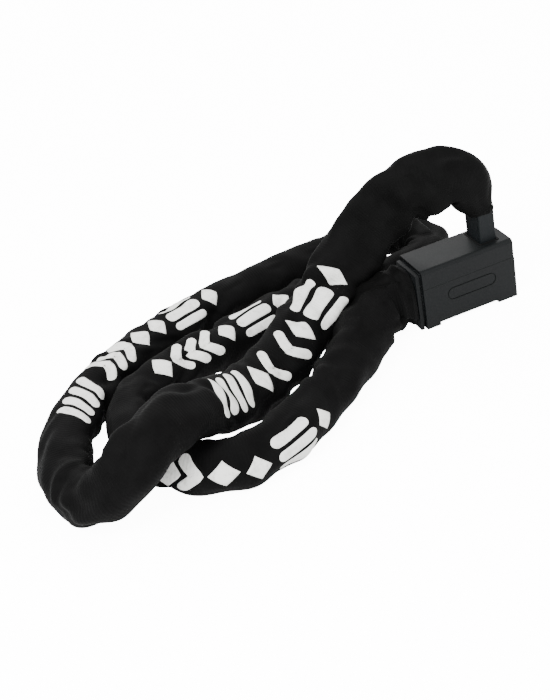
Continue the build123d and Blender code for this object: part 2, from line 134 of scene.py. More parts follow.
def weave(tree):
    # ribs round the sleeve crossed by its threads, from the sleeve's own map in millimetres
    uv = addNode(tree, "ShaderNodeUVMap", {"uv_map": "clothMm"})
    ribs = addNode(
        tree,
        "ShaderNodeTexWave",
        {
            "bands_direction": "X",
            "Scale": waveTurn / clothLook["ribMm"],
            "Distortion": 0.25,
            "Detail Scale": 2.0,
        },
        {"Vector": uv.outputs[0]},
    )
    threads = addNode(
        tree,
        "ShaderNodeTexWave",
        {"bands_direction": "Y", "Scale": waveTurn / clothLook["threadMm"]},
        {"Vector": uv.outputs[0]},
    )
    both = addNode(
        tree,
        "ShaderNodeMath",
        {"operation": "MULTIPLY_ADD", 1: 0.35},
        {0: threads.outputs["Fac"], 2: ribs.outputs["Fac"]},
    )
    return uv, both


def makeSleeveCloth():
    # black ribbed polyester, woven: matt, with a faint bloom at grazing light
    material, tree, shader = newMaterial("wovenPolyesterBlack")
    uv, height = weave(tree)
    place = addNode(tree, "ShaderNodeTexCoord")
    mottle = addNode(
        tree,
        "ShaderNodeTexNoise",
        {"Scale": 70.0, "Detail": 5.0, "Roughness": 0.6},
        {"Vector": place.outputs["Object"]},
    )
    colour = addNode(tree, "ShaderNodeValToRGB", links={"Fac": mottle.outputs["Fac"]})
    colour.color_ramp.elements[0].position = 0.35
    colour.color_ramp.elements[1].position = 0.7
    colour.color_ramp.elements[0].color = fromHex(clothLook["dark"])
    colour.color_ramp.elements[1].color = fromHex(clothLook["light"])
    bump = addNode(
        tree,
        "ShaderNodeBump",
        {"Strength": 0.28, "Distance": 0.0003},
        {"Height": height.outputs[0]},
    )
    tree.links.new(colour.outputs[0], shader.inputs["Base Color"])
    tree.links.new(bump.outputs[0], shader.inputs["Normal"])
    shader.inputs["Roughness"].default_value = clothLook["roughness"]
    shader.inputs["Sheen Weight"].default_value = clothLook["sheen"]
    shader.inputs["Sheen Roughness"].default_value = 0.5
    shader.inputs["Specular IOR Level"].default_value = 0.05
    return material


def makePrintFilm():
    # reflective ink pressed into the weave: pale grey, worn thin between the ribs
    material, tree, shader = newMaterial("reflectivePrintGrey")
    uv, height = weave(tree)
    place = addNode(tree, "ShaderNodeTexCoord")
    wear = addNode(
        tree,
        "ShaderNodeTexNoise",
        {"Scale": 240.0, "Detail": 6.0, "Roughness": 0.7},
        {"Vector": place.outputs["Object"]},
    )
    colour = addNode(tree, "ShaderNodeValToRGB", links={"Fac": wear.outputs["Fac"]})
    colour.color_ramp.elements[0].position = 0.28
    colour.color_ramp.elements[1].position = 0.52
    colour.color_ramp.elements[0].color = fromHex(clothLook["printDark"])
    colour.color_ramp.elements[1].color = fromHex(clothLook["printLight"])
    bump = addNode(
        tree,
        "ShaderNodeBump",
        {"Strength": 0.4, "Distance": 0.00025},
        {"Height": height.outputs[0]},
    )
    tree.links.new(colour.outputs[0], shader.inputs["Base Color"])
    tree.links.new(bump.outputs[0], shader.inputs["Normal"])
    shader.inputs["Roughness"].default_value = 0.6
    return material


# name, colour, roughness, metallic, grain in mm and how far the tone and gloss wander
finishes = {
    # charcoal ABS off a lightly sparked mould: dull, with a soft edge light
    "cover_plastic": ("mouldedAbsCharcoal", "#0b0d0e", 0.52, 0.0, 0.45, 0.04),
    # the same, a shade darker
    "end_cap_plastic": ("mouldedAbsDark", "#0a0c0d", 0.54, 0.0, 0.45, 0.04),
    # tougher nylon, a little smoother
    "shroud_plastic": ("mouldedNylonCharcoal", "#0c0f11", 0.5, 0.0, 0.4, 0.04),
    # unpainted black nylon, waxy
    "slide_plastic": ("mouldedNylonBlack", "#1d1e1f", 0.5, 0.0, 0.45, 0.05),
    # soft rubber, nearly without shine
    "rubber_trim": ("softRubberBlack", "#080808", 0.75, 0.0, 0.6, 0.06),
    # raw casting, grey and cloudy
    "cast_zinc": ("dieCastZinc", "#a3a6aa", 0.42, 1.0, 0.8, 0.12),
    # turned on a lathe, warm and bright
    "brass_works": ("turnedBrass", "#c9a25a", 0.26, 1.0, 0.3, 0.08),
    # thin bright plating
    "zinc_plated_steel": ("zincPlatedSteel", "#b9bcbd", 0.3, 1.0, 0.4, 0.08),
    # ground after hardening, cool and sharp
    "hardened_steel": ("groundSteel", "#9a9da0", 0.28, 1.0, 0.3, 0.08),
    # case hardened bar, greyer than ground steel
    "chain_steel": ("caseHardenedSteel", "#8d8f8c", 0.36, 1.0, 0.6, 0.1),
}


def makeHardFinish(slotName):
    # grain of about the stated size in mm on a colour that varies a little, with uneven gloss
    name, code, roughness, metallic, grainMm, spread = finishes[slotName]
    material, tree, shader = newMaterial(name)
    place = addNode(tree, "ShaderNodeTexCoord")
    grain = addNode(
        tree,
        "ShaderNodeTexNoise",
        {"Scale": 1.0 / (grainMm * mm), "Detail": 3.0, "Roughness": 0.55},
        {"Vector": place.outputs["Object"]},
    )
    cloud = addNode(
        tree,
        "ShaderNodeTexNoise",
        {"Scale": 60.0, "Detail": 4.0, "Roughness": 0.6},
        {"Vector": place.outputs["Object"]},
    )
    base = fromHex(code)
    tone = addNode(tree, "ShaderNodeValToRGB", links={"Fac": cloud.outputs["Fac"]})
    tone.color_ramp.elements[0].position = 0.3
    tone.color_ramp.elements[1].position = 0.7
    tone.color_ramp.elements[0].color = tuple(c * (1 - 2 * spread) for c in base[:3]) + (1,)
    tone.color_ramp.elements[1].color = tuple(c * (1 + 2 * spread) for c in base[:3]) + (1,)
    gloss = addNode(
        tree,
        "ShaderNodeMapRange",
        {"To Min": roughness - spread, "To Max": roughness + spread},
        {"Value": cloud.outputs["Fac"]},
    )
    bump = addNode(
        tree,
        "ShaderNodeBump",
        {"Strength": 0.16, "Distance": 0.00012},
        {"Height": grain.outputs["Fac"]},
    )
    tree.links.new(tone.outputs[0], shader.inputs["Base Color"])
    tree.links.new(gloss.outputs[0], shader.inputs["Roughness"])
    tree.links.new(bump.outputs[0], shader.inputs["Normal"])
    shader.inputs["Metallic"].default_value = metallic
    if not metallic:
        shader.inputs["Specular IOR Level"].default_value = 0.12
    return material


materials = {slotName: makeHardFinish(slotName) for slotName in finishes}
materials["sleeve_textile"] = makeSleeveCloth()
printFilm = makePrintFilm()

slotOf = {part["node"]: part["material_slot"] for part in record["subparts"]}
for nodeName, piece in frame["nodes"].items():
    piece.data.materials.clear()
    piece.data.materials.append(materials[slotOf[nodeName]])
print("materials made")

# the sleeve's middle line in metres, from the plug to the lock's left end: the first eight
# points sag up to 9 mm below the CAD route's, the others are the same places
route = [
    (0.0204, 0.0012, 0.0602), (0.0170, 0.0012, 0.0672), (0.0152, 0.0014, 0.0772),
    (0.0076, 0.0026, 0.0838), (-0.0045, 0.006, 0.0843), (-0.017, 0.012, 0.0810),
    (-0.030, 0.018, 0.0722), (-0.0435, 0.022, 0.0585), (-0.064, 0.0195, 0.043),
    (-0.088, 0.007, 0.029), (-0.115, -0.008, 0.018), (-0.144, -0.025, 0.0145),
    (-0.172, -0.044, 0.024), (-0.197, -0.064, 0.044), (-0.221, -0.080, 0.046),
    (-0.242, -0.083, 0.029), (-0.258, -0.065, 0.014), (-0.2625, -0.036, 0.0136),
    (-0.2535, -0.006, 0.0136), (-0.2345, 0.023, 0.0136), (-0.2035, 0.049, 0.0136),
    (-0.1655, 0.067, 0.0136), (-0.1235, 0.079, 0.0136), (-0.0805, 0.085, 0.0136),
    (-0.0395, 0.088, 0.0136), (-0.009, 0.091, 0.0136), (0.0115, 0.079, 0.0136),
    (0.0125, 0.053, 0.0136), (-0.005, 0.037, 0.0136), (-0.0375, 0.039, 0.0136),
    (-0.0735, 0.048, 0.0136), (-0.1095, 0.041, 0.0136), (-0.1455, 0.030, 0.0136),
    (-0.1785, 0.024, 0.0136), (-0.2025, 0.013, 0.0136), (-0.2165, -0.009, 0.0136),
    (-0.2175, -0.037, 0.0136), (-0.2065, -0.065, 0.0136), (-0.184, -0.082, 0.0136),
    (-0.157, -0.081, 0.0136), (-0.1305, -0.066, 0.0136), (-0.1035, -0.046, 0.0136),
    (-0.0795, -0.026, 0.0145), (-0.063, -0.009, 0.0175), (-0.049, 0.0, 0.020),
    (-0.0335, 0.0, 0.020),
]
splitPlace = np.array((-0.1295, -0.0165, 0.01625))  # where the CAD sleeve is cut in two

# sleeve along its length, by share of the route: half width, half thickness, and the way
# that its flat face looks; in mm, but the ring step in m
sleeveForm = {
    "ringStep": 0.00125,
    "around": 92,
    "share": [
        0.0, 0.004, 0.010, 0.03, 0.06, 0.10, 0.20, 0.27, 0.33, 0.42,
        0.56, 0.62, 0.75, 0.84, 0.93, 0.965, 0.98, 0.99, 1.0,
    ],
    "halfWidth": [
        7.4, 11.0, 14.4, 18.4, 18.6, 17.8, 16.8, 15.6, 14.8, 13.6,
        13.2, 13.6, 13.4, 14.6, 14.0, 16.2, 17.4, 17.6, 17.4,
    ],
    "halfThick": [
        9.6, 9.9, 10.6, 11.0, 11.0, 11.2, 11.0, 11.4, 11.8, 11.8,
        11.8, 11.6, 11.8, 11.6, 12.2, 13.4, 13.6, 13.2, 12.4,
    ],
    "faceShare": [0.0, 0.04, 0.10, 0.24, 0.33, 0.5, 0.84, 0.93, 0.975, 1.0],
    "face": [
        (0, -1, 0.1), (0, -0.8, 0.6), (-0.2, -0.74, 0.64), (-0.2, -0.6, 0.77), (-0.1, -0.3, 0.95),
        (-0.1, -0.35, 0.93), (-0.15, -0.45, 0.88), (-0.2, -0.6, 0.77), (0, -0.94, 0.34), (0, -1, 0.05),
    ],
    "squareShare": [0.0, 0.95, 0.985, 1.0],
    "square": [2.35, 2.35, 3.6, 3.6],  # above 2 the section is squarer than an ellipse
    "radius": 13.5,  # of the plain round sleeve
    "layFrom": 22.0,  # below this height the sleeve starts to lie down, over the next value
    "layOver": 7.0,
    "floorGap": 0.35,
    "floorSoft": 0.7,  # over this height the cloth rounds off onto the floor
    "floorReach": 12.0,  # height under which it does
    "chainGap": 1.0,  # cloth between the chain and the outside
    "swellMost": 6.0,
}


def readRoute():
    # points of a smooth curve whose control points are the route, at even steps
    data = bpy.data.curves.new("sleeveRoute", "CURVE")
    data.dimensions = "3D"
    data.resolution_u = 24
    spline = data.splines.new("NURBS")
    spline.points.add(len(route) - 1)
    spline.points.foreach_set("co", np.hstack([route, np.ones((len(route), 1))]).ravel())
    spline.order_u = 3
    spline.use_endpoint_u = True
    holder = bpy.data.objects.new("sleeveRoute", data)
    mesh = bpy.data.meshes.new_from_object(holder)
    line = np.empty(len(mesh.vertices) * 3)
    mesh.vertices.foreach_get("co", line)
    line = line.reshape(-1, 3)
    bpy.data.meshes.remove(mesh)
    bpy.data.objects.remove(holder)
    bpy.data.curves.remove(data)
    along = np.concatenate([[0], np.cumsum(np.linalg.norm(np.diff(line, axis=0), axis=1))])
    rings = int(along[-1] / sleeveForm["ringStep"]) + 1
    even = np.linspace(0, along[-1], rings)
    return np.stack([np.interp(even, along, line[:, k]) for k in range(3)], 1), even


def unit(vectors):
    # each vector over its own length
    return vectors / np.maximum(np.linalg.norm(vectors, axis=-1, keepdims=True), 1e-12)


def soften(values, width):
    # a running mean along the first axis with bell-shaped (Hann) weights, its ends held
    kernel = np.hanning(2 * width + 3)[1:-1]
    kernel /= kernel.sum()
    padded = np.pad(values, [(width, width)] + [(0, 0)] * (values.ndim - 1), mode="edge")
    if values.ndim == 1:
        return np.convolve(padded, kernel, mode="valid")
    columns = [np.convolve(column, kernel, mode="valid") for column in padded.T]
    return np.stack(columns, 1)


foldForm = {
    "linkPitch": 24.8,
    "linkSwell": 0.45,
    "creases": 210,
    "creaseTurn": 1.2,  # furthest that a crease leans from the sleeve's length, in radians
    "creaseLong": (10, 34),
    "creaseThin": (2.2, 6.5),
    "creaseDeep": (0.3, 1.0),
    "ridge": (1.7, 0.55),  # how many widths beside a crease its ridges lie, and their height
    "pleatPitch": 12.5,
    "pleatDeep": 1.7,
    "rufflePitch": 8.2,
    "ruffleHigh": 0.9,
    "plugReach": 14,
    "plugGather": 0.8,
    "lockReach": 17,
    "bunchPitch": 9.5,
    "bunchHigh": 1.7,
    "closeOver": 4,  # the folds die out over this length at the lock
}


def foldHeights(alongMm, angle, share, inward, bend):
    # height of the cloth in mm over its plain section: a cosine swell over each chain link,
    # creases as narrow bells with two ridges in random places, cosine pleats on the inside
    # of bends and ruffles on the outside, and gathers that fade from both ends
    form = foldForm
    grid = np.zeros((len(alongMm), len(angle)))
    s = alongMm[:, None]
    grid += form["linkSwell"] * np.cos(2 * np.pi * s / form["linkPitch"]) * np.cos(2 * angle[None, :])
    random = np.random.default_rng(12)
    v = angle[None, :] * sleeveForm["radius"]
    girth = 2 * np.pi * sleeveForm["radius"]
    ridgeAt, ridgeHigh = form["ridge"]
    for _ in range(form["creases"]):
        s0 = random.uniform(0, alongMm[-1])
        v0 = random.uniform(0, girth)
        turn = random.uniform(-form["creaseTurn"], form["creaseTurn"])
        long = random.uniform(*form["creaseLong"])
        thin = random.uniform(*form["creaseThin"])
        deep = random.uniform(*form["creaseDeep"]) * thin ** 0.5
        ds = s - s0
        dv = (v - v0 + girth / 2) % girth - girth / 2
        onward = ds * math.cos(turn) + dv * math.sin(turn)
        across = (-ds * math.sin(turn) + dv * math.cos(turn)) / thin
        shape = np.exp(-across**2) - ridgeHigh * np.exp(-((np.abs(across) - ridgeAt) ** 2))
        grid -= deep * shape * np.exp(-((onward / long) ** 2))
    wander = 2.2 * np.sin(s / 17.0) + 1.3 * np.sin(s / 7.3 + 2 * angle[None, :])
    pleat = 0.5 + 0.5 * np.cos(2 * np.pi * (s + wander) / form["pleatPitch"])
    inside = np.clip(inward, 0, 1) ** 1.5 * np.clip(bend[:, None] * 26, 0, 1)
    grid -= form["pleatDeep"] * pleat * inside
    outside = np.clip(-inward, 0, 1) * np.clip(bend[:, None] * 9, 0, 0.4)
    grid += form["ruffleHigh"] * np.sin(np.pi * (s + wander) / form["rufflePitch"]) * outside
    plugEnd = np.exp(-alongMm / form["plugReach"])[:, None]
    gather = np.abs(np.sin(5.5 * angle[None, :] + 0.05 * s))
    grid += plugEnd * (form["plugGather"] * gather - form["plugGather"] / 2)
    left = alongMm[-1] - alongMm
    lockEnd = np.exp(-left / form["lockReach"])[:, None]
    sway = 0.8 * np.sin(2 * angle[None, :])
    bunch = np.sin(2 * np.pi * left[:, None] / form["bunchPitch"] + sway)
    closing = np.clip(left / form["closeOver"], 0, 1)[:, None]
    grid += form["bunchHigh"] * lockEnd * bunch * closing
    return grid * np.clip(share * 90, 0, 1)[:, None] * closing


# the copies of these nodes move onto the sleeve's line, so the cloth needn't clear them
risingHigh = ("chain_links_65_to_68", "chain_links_69_to_71")


def trianglesOf(mesh):
    # a mesh's points, and its triangles as rows of three point numbers
    mesh.calc_loop_triangles()
    places = np.empty(len(mesh.vertices) * 3)
    mesh.vertices.foreach_get("co", places)
    corners = np.empty(len(mesh.loop_triangles) * 3, np.int32)
    mesh.loop_triangles.foreach_get("vertices", corners)
    return places.reshape(-1, 3), corners.reshape(-1, 3)


def chainPoints():
    # points over every chain link's triangles: corners, the middles of edges and of faces
    corners = [(1, 0, 0), (0, 1, 0), (0, 0, 1)]
    shares = np.array([*corners, (0.5, 0.5, 0), (0, 0.5, 0.5), (0.5, 0, 0.5), (1 / 3,) * 3])
    clouds = []
    for nodeName, piece in frame["nodes"].items():
        if not nodeName.startswith("chain_links") or nodeName in risingHigh:
            continue
        places, triangles = trianglesOf(piece.data)
        clouds.append(np.einsum("sc,tcx->tsx", shares, places[triangles]).reshape(-1, 3))
    return clouds


def nearestRing(cloud, centre):
    # for each point of a cloud, the sleeve ring whose middle is nearest: least squared
    # distance, worked out as the squares' sum less twice the product
    square = (centre**2).sum(1)[None, :] - 2 * cloud @ centre.T
    return square.argmin(1)


def chainSwell(centre, tangent, side, normal, outlineMm, alongMm, angle):
    # how far the cloth must move out, in mm, to clear the links inside it: at each ring and
    # angle the links' furthest reach, less the cloth's own, spread a little and smoothed
    rings, around = outlineMm.shape
    clouds = chainPoints()
    cloud = np.vstack(clouds)
    ring = np.concatenate([nearestRing(points, centre) for points in clouds])
    away = cloud - centre[ring]
    turn = np.arctan2((away * normal[ring]).sum(1), (away * side[ring]).sum(1)) % (2 * np.pi)
    column = np.round(turn / (2 * np.pi) * around).astype(int) % around
    flat = np.linalg.norm(away - tangent[ring] * (away * tangent[ring]).sum(1)[:, None], axis=1)
    need = np.zeros((rings, around))
    np.maximum.at(need, (ring, column), flat / mm + sleeveForm["chainGap"])
    for axis, reach in ((0, 4), (1, 3)):  # rings each way, and points round
        shifted = [np.roll(need, shift, axis) for shift in range(-reach, reach + 1)]
        need = np.max(shifted, axis=0)
    swell = np.clip(need - outlineMm, 0, sleeveForm["swellMost"])
    for axis in (0, 1):
        swell = (np.roll(swell, 1, axis) + 2 * swell + np.roll(swell, -1, axis)) / 4
    ends = np.clip(np.minimum(alongMm - 6, alongMm[-1] - 5 - alongMm) / 5, 0, 1)
    return swell * ends[:, None]


def makeSleeveGrid():
    # a squared ellipse carried along the route: its wide way is the tangent crossed with the
    # way the flat face looks, its points move out by the fold heights and stay off the floor
    line, along = readRoute()
    share = along / along[-1]
    tangent = unit(np.gradient(soften(line, 5), axis=0))
    form = sleeveForm
    looks = np.array(form["face"], float)
    face = np.stack([np.interp(share, form["faceShare"], looks[:, k]) for k in range(3)], 1)
    side = unit(soften(np.cross(tangent, face), 12))
    side = unit(side - tangent * (side * tangent).sum(1)[:, None])
    normal = np.cross(side, tangent)
    wide = soften(np.interp(share, form["share"], form["halfWidth"]), 7) * mm
    thick = soften(np.interp(share, form["share"], form["halfThick"]), 7) * mm
    low = np.sqrt((wide * side[:, 2]) ** 2 + (thick * normal[:, 2]) ** 2)
    layHeight = (form["radius"] + 0.1) * mm  # of the route where the sleeve lies on the floor
    laid = np.clip((form["layFrom"] - line[:, 2] / mm) / form["layOver"], 0, 1)
    laid = soften(laid * laid * (3 - 2 * laid), 9)
    centre = line.copy()
    centre[:, 2] += laid * (low - layHeight)
    angle = np.linspace(0, 2 * np.pi, form["around"], endpoint=False)
    power = 2 / np.interp(share, form["squareShare"], form["square"])[:, None]
    across = np.sign(np.cos(angle)) * np.abs(np.cos(angle)) ** power
    upward = np.sign(np.sin(angle)) * np.abs(np.sin(angle)) ** power
    radial = (wide[:, None] * across)[:, :, None] * side[:, None, :]
    radial = radial + (thick[:, None] * upward)[:, :, None] * normal[:, None, :]
    outward = unit(radial)
    curve = np.gradient(tangent, axis=0) / np.gradient(along)[:, None]
    curve = soften(curve, 6)
    bend = np.linalg.norm(curve, axis=1)
    inward = (outward * unit(curve)[:, None, :]).sum(2)
    heights = foldHeights(along / mm, angle, share, inward, bend * mm) * mm
    outlineMm = np.linalg.norm(radial, axis=2) / mm + heights / mm
    upPart = (radial * normal[:, None, :]).sum(2)
    sidePart = (radial * side[:, None, :]).sum(2)
    turned = np.arctan2(upPart, sidePart) % (2 * np.pi)
    whole = 2 * np.pi
    even = np.stack([np.interp(angle, at, far, period=whole) for at, far in zip(turned, outlineMm)])
    swell = chainSwell(centre, tangent, side, normal, even, along / mm, angle)
    back = np.stack([np.interp(at, angle, far, period=whole) for at, far in zip(turned, swell)])
    heights += back * mm
    grid = centre[:, None, :] + radial + outward * heights[:, :, None]
    floor = form["floorGap"] * mm
    soft = form["floorSoft"] * mm
    lifted = floor + soft * np.logaddexp(0, (grid[:, :, 2] - floor) / soft)
    near = grid[:, :, 2] < form["floorReach"] * mm
    grid[:, :, 2] = np.where(near, lifted, grid[:, :, 2])
    return grid, centre, along, angle


def gridNormals(grid):
    # the step along the sleeve crossed with the step round it
    forward = np.gradient(grid, axis=0)
    ringward = np.roll(grid, -1, 1) - np.roll(grid, 1, 1)
    return unit(np.cross(forward, ringward))


def meshObject(name, points, faces, material):
    # one smooth piece from its points and faces, with its material and slot
    mesh = bpy.data.meshes.new(name)
    mesh.from_pydata(points.tolist(), [], faces)
    mesh.materials.append(material)
    mesh.shade_smooth()
    piece = bpy.data.objects.new(name, mesh)
    bpy.context.scene.collection.objects.link(piece)
    return piece


def setMap(piece, alongMm, roundMm):
    # the cloth's own map: millimetres along and round the sleeve, from one value per vertex
    layer = piece.data.uv_layers.new(name="clothMm")
    corner = np.empty(len(piece.data.loops), np.int32)
    piece.data.loops.foreach_get("vertex_index", corner)
    pairs = np.stack([alongMm[corner], roundMm[corner]], 1)
    starts = np.empty(len(piece.data.polygons), np.int32)
    piece.data.polygons.foreach_get("loop_start", starts)
    totals = np.empty(len(piece.data.polygons), np.int32)
    piece.data.polygons.foreach_get("loop_total", totals)
    owner = np.repeat(np.arange(len(starts)), totals)
    top = np.maximum.reduceat(pairs[:, 1], starts)
    wraps = (top[owner] - pairs[:, 1]) > clothGirth / 2
    pairs[wraps, 1] += clothGirth
    layer.data.foreach_set("uv", pairs.astype(np.float32).ravel())


clothGirth = 88.0  # a whole number of threads round the sleeve, so that the map closes


def tubePiece(name, grid, along, angle, material):
    # rings joined into a closed tube, with a point in the middle of each end
    rings, around = grid.shape[:2]
    points = np.vstack([grid.reshape(-1, 3), grid[0].mean(0), grid[-1].mean(0)])
    ring = np.arange(rings - 1)[:, None] * around
    spot = np.arange(around)[None, :]
    after = (spot + 1) % around
    quads = np.stack([ring + spot, ring + around + spot, ring + around + after, ring + after], 2)
    faces = quads.reshape(-1, 4).tolist()
    last = (rings - 1) * around
    head, tail = rings * around, rings * around + 1
    turn = np.arange(around)
    after = (turn + 1) % around
    faces += np.stack([np.full(around, head), turn, after], 1).tolist()
    faces += np.stack([np.full(around, tail), last + after, last + turn], 1).tolist()
    piece = meshObject(name, points, faces, material)
    alongMm = np.repeat(along / mm, around)
    alongMm = np.append(alongMm, [along[0] / mm, along[-1] / mm])
    roundMm = np.tile(angle / (2 * np.pi) * clothGirth, rings)
    roundMm = np.append(roundMm, [0.0, 0.0])
    setMap(piece, alongMm, roundMm)
    return piece


grid, centre, along, angle = makeSleeveGrid()
splitRing = int(np.linalg.norm(centre[:400] - splitPlace, axis=1).argmin())
print("sleeve rings", len(grid), "split at", splitRing, "length", round(float(along[-1]), 4))

# the rising stretch runs three rings on inside the other, drawn in by up to a twentieth
liftGrid = grid[: splitRing + 4].copy()
tuck = np.linspace(0, 0.05, 4)[1:, None, None]
liftGrid[-3:] += (centre[splitRing + 1 : splitRing + 4, None, :] - liftGrid[-3:]) * tuck
cloth = materials["sleeve_textile"]
sleeveLift = tubePiece("sleeveLiftCloth", liftGrid, along[: splitRing + 4], angle, cloth)
sleeveRun = tubePiece("sleeveRunCloth", grid[splitRing:], along[splitRing:], angle, cloth)
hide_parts("sleeve_lift")
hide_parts("sleeve_run")
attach(sleeveRun, "root")
print("sleeve made")

# plain bars, chevrons and lozenges, in mm along the sleeve and round it from its face
printForm = {
    "lift": 0.22,
    "film": 0.18,
    "cell": 0.8,
    "bar": 5.8,
    # start along the sleeve, kind of group, and how far round it is shifted
    "groups": [
        (126, 2, 0), (178, 1, 1), (228, 0, 0), (432, 0, -3), (478, 1, 0), (530, 2, 0),
        (862, 2, 0), (914, 1, 1), (1038, 1, -9), (1090, 2, -11),
    ],
}
normals = gridNormals(grid)


def onSleeve(alongMm, roundMm):
    # point of the sleeve at a distance along it and round it from the middle of its face,
    # worked out between the four nearest grid points and raised a little
    step = along[1] / mm
    row = np.clip(alongMm / step, 0, len(grid) - 1.001)
    column = ((np.pi / 2 + roundMm / sleeveForm["radius"]) / (2 * np.pi) * len(angle)) % len(angle)
    r0 = row.astype(int)
    c0 = column.astype(int) % len(angle)
    c1 = (c0 + 1) % len(angle)
    fr = (row - r0)[..., None]
    fc = (column - np.floor(column))[..., None]

    def between(field):
        near = field[r0, c0] * (1 - fc) + field[r0, c1] * fc
        far = field[r0 + 1, c0] * (1 - fc) + field[r0 + 1, c1] * fc
        return near * (1 - fr) + far * fr

    return between(grid) + unit(between(normals)) * printForm["lift"] * mm


def stroke(path, width):
    # a strip of even width along straight runs, with round ends, as a grid of (along, round)
    path = np.array(path, float)
    reach = np.concatenate([[0], np.cumsum(np.linalg.norm(np.diff(path, axis=0), axis=1))])
    count = max(int(reach[-1] / printForm["cell"]), 6)
    at = reach[-1] * (1 - np.cos(np.linspace(0, np.pi, count))) / 2
    line = np.stack([np.interp(at, reach, path[:, k]) for k in range(2)], 1)
    ahead = unit(np.gradient(line, axis=0))
    across = np.stack([-ahead[:, 1], ahead[:, 0]], 1)
    end = np.minimum(at, reach[-1] - at)
    half = width / 2
    roundEnd = np.sqrt(np.clip(1 - (1 - np.clip(end / half, 0, 1)) ** 2, 0.02, 1))
    lanes = np.linspace(-1, 1, max(int(width / printForm["cell"]) + 1, 5))
    return line[:, None, :] + across[:, None, :] * (half * roundEnd)[:, None, None] * lanes[None, :, None]


def lozenge(middle, long, tall):
    # a square grid turned on its corner and stretched
    t = np.linspace(-1, 1, 9)
    a, b = np.meshgrid(t, t, indexing="ij")
    return np.stack([middle[0] + long / 4 * (a + b), middle[1] + tall / 4 * (b - a)], 2)


def groupPatches(start, kind):
    # one group of the print, as flat patches in mm along and round the sleeve
    bar = printForm["bar"]
    if kind == 0:  # four slanted bars
        return [stroke([(start + k * 9.0, -10), (start + k * 9.0 + 9, 10)], bar) for k in range(4)]
    if kind == 1:  # three chevrons and a lozenge
        patches = [
            stroke([(start + k * 10, -9.5), (start + k * 10 + 8, 0), (start + k * 10, 9.5)], bar)
            for k in range(3)
        ]
        patches.append(lozenge((start + 39, 0), 13, 15))
        return patches
    # long bars along the sleeve between two lozenges
    patches = [stroke([(start + 10, v), (start + 34, v)], bar) for v in (-8, 0, 8)]
    patches.append(lozenge((start + 1, 0), 11, 15))
    patches.append(lozenge((start + 43, 0), 11, 15))
    return patches


def printPiece(name, patches):
    # patches bent onto the sleeve, then thickened into a film
    points, faces, alongAll, roundAll = [], [], [], []
    base = 0
    for patch in patches:
        rows, columns = patch.shape[:2]
        points.append(onSleeve(patch[..., 0], patch[..., 1]).reshape(-1, 3))
        corner = base + np.arange(rows - 1)[:, None] * columns + np.arange(columns - 1)[None, :]
        quad = np.stack([corner, corner + columns, corner + columns + 1, corner + 1], 2)
        faces += quad.reshape(-1, 4).tolist()
        alongAll.append(patch[..., 0].ravel())
        roundAll.append(patch[..., 1].ravel())
        base += rows * columns
    piece = meshObject(name, np.vstack(points), faces, printFilm)
    setMap(piece, np.concatenate(alongAll), np.concatenate(roundAll))
    solid = piece.modifiers.new("filmThickness", "SOLIDIFY")
    solid.thickness = printForm["film"] * mm
    solid.offset = -1
    return piece


liftMm = along[splitRing] / mm
liftPatches, runPatches = [], []
for start, kind, shift in printForm["groups"]:
    for patch in groupPatches(start, kind):
        patch = patch + np.array([0, shift])
        low, high = patch[..., 0].min(), patch[..., 0].max()
        if high < liftMm - 1:
            liftPatches.append(patch)
        elif low > liftMm + 1 and high < along[-1] / mm - 8:  # clear of both ends
            runPatches.append(patch)
printLift = printPiece("sleevePrintLift", liftPatches)
printRun = printPiece("sleevePrintRun", runPatches)
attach(printRun, "root")
print("print laid", len(liftPatches), len(runPatches))

# in mm: half sizes in plan, heights of its bottom and top, thickness, and its pleats
hemForm = {
    "halfX": 6.2,
    "halfY": 9.0,
    "low": 58.6,
    "high": 62.8,
    "fat": 0.7,
    "square": 3.2,  # squarer in plan than the sleeve
    "pleats": 22,
    "pleatHigh": 0.22,
    "wave": 0.25,
    "girth": 56,  # of the cloth's map round it
    "around": 160,
    "profile": 20,
}


def makeHem():
    # a rounded ring of folded cloth: a superellipse in plan, a half round in profile, and a
    # small pleat that repeats around it
    form = hemForm
    around, profile = form["around"], form["profile"]
    u = np.linspace(0, 2 * np.pi, around, endpoint=False)
    w = np.linspace(0, 2 * np.pi, profile, endpoint=False)
    shroudLow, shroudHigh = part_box("stud_shroud")
    middle = (np.array(shroudLow) + np.array(shroudHigh)) / 2
    power = 2 / form["square"]
    cx = np.sign(np.cos(u)) * np.abs(np.cos(u)) ** power
    cy = np.sign(np.sin(u)) * np.abs(np.sin(u)) ** power
    pleat = form["pleatHigh"] * np.sin(form["pleats"] * u + 1.5 * np.sin(3 * u))
    outer = form["fat"] * np.cos(w)[None, :] + (pleat[:, None] * (np.cos(w)[None, :] > 0))
    x = middle[0] / mm + cx[:, None] * (form["halfX"] + outer)
    y = middle[1] / mm + cy[:, None] * (form["halfY"] + outer)
    z = (form["low"] + form["high"]) / 2 + np.sin(w)[None, :] * (form["high"] - form["low"]) / 2
    z = z + form["wave"] * np.sin(5 * u)[:, None]
    points = np.stack([x, y, np.broadcast_to(z, x.shape)], 2).reshape(-1, 3) * mm
    a = np.arange(around)[:, None]
    b = np.arange(profile)[None, :]
    a1, b1 = (a + 1) % around, (b + 1) % profile
    quads = np.stack([a * profile + b, a1 * profile + b, a1 * profile + b1, a * profile + b1], 2)
    faces = quads.reshape(-1, 4).tolist()
    piece = meshObject("sleeveHem", points, faces, cloth)
    setMap(piece, points[:, 2] / mm, np.repeat(u / (2 * np.pi) * form["girth"], profile))
    return piece


sleeveHem = makeHem()
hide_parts("sleeve_neck")
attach(sleeveHem, "plug")
print("hem made")

# between these heights the sleeve goes over from lying still to rising with the plug
linkRise = {"from": 0.058, "over": 0.008}  # heights in m over which links join the sleeve's line
liftLine = centre[: splitRing + 4]


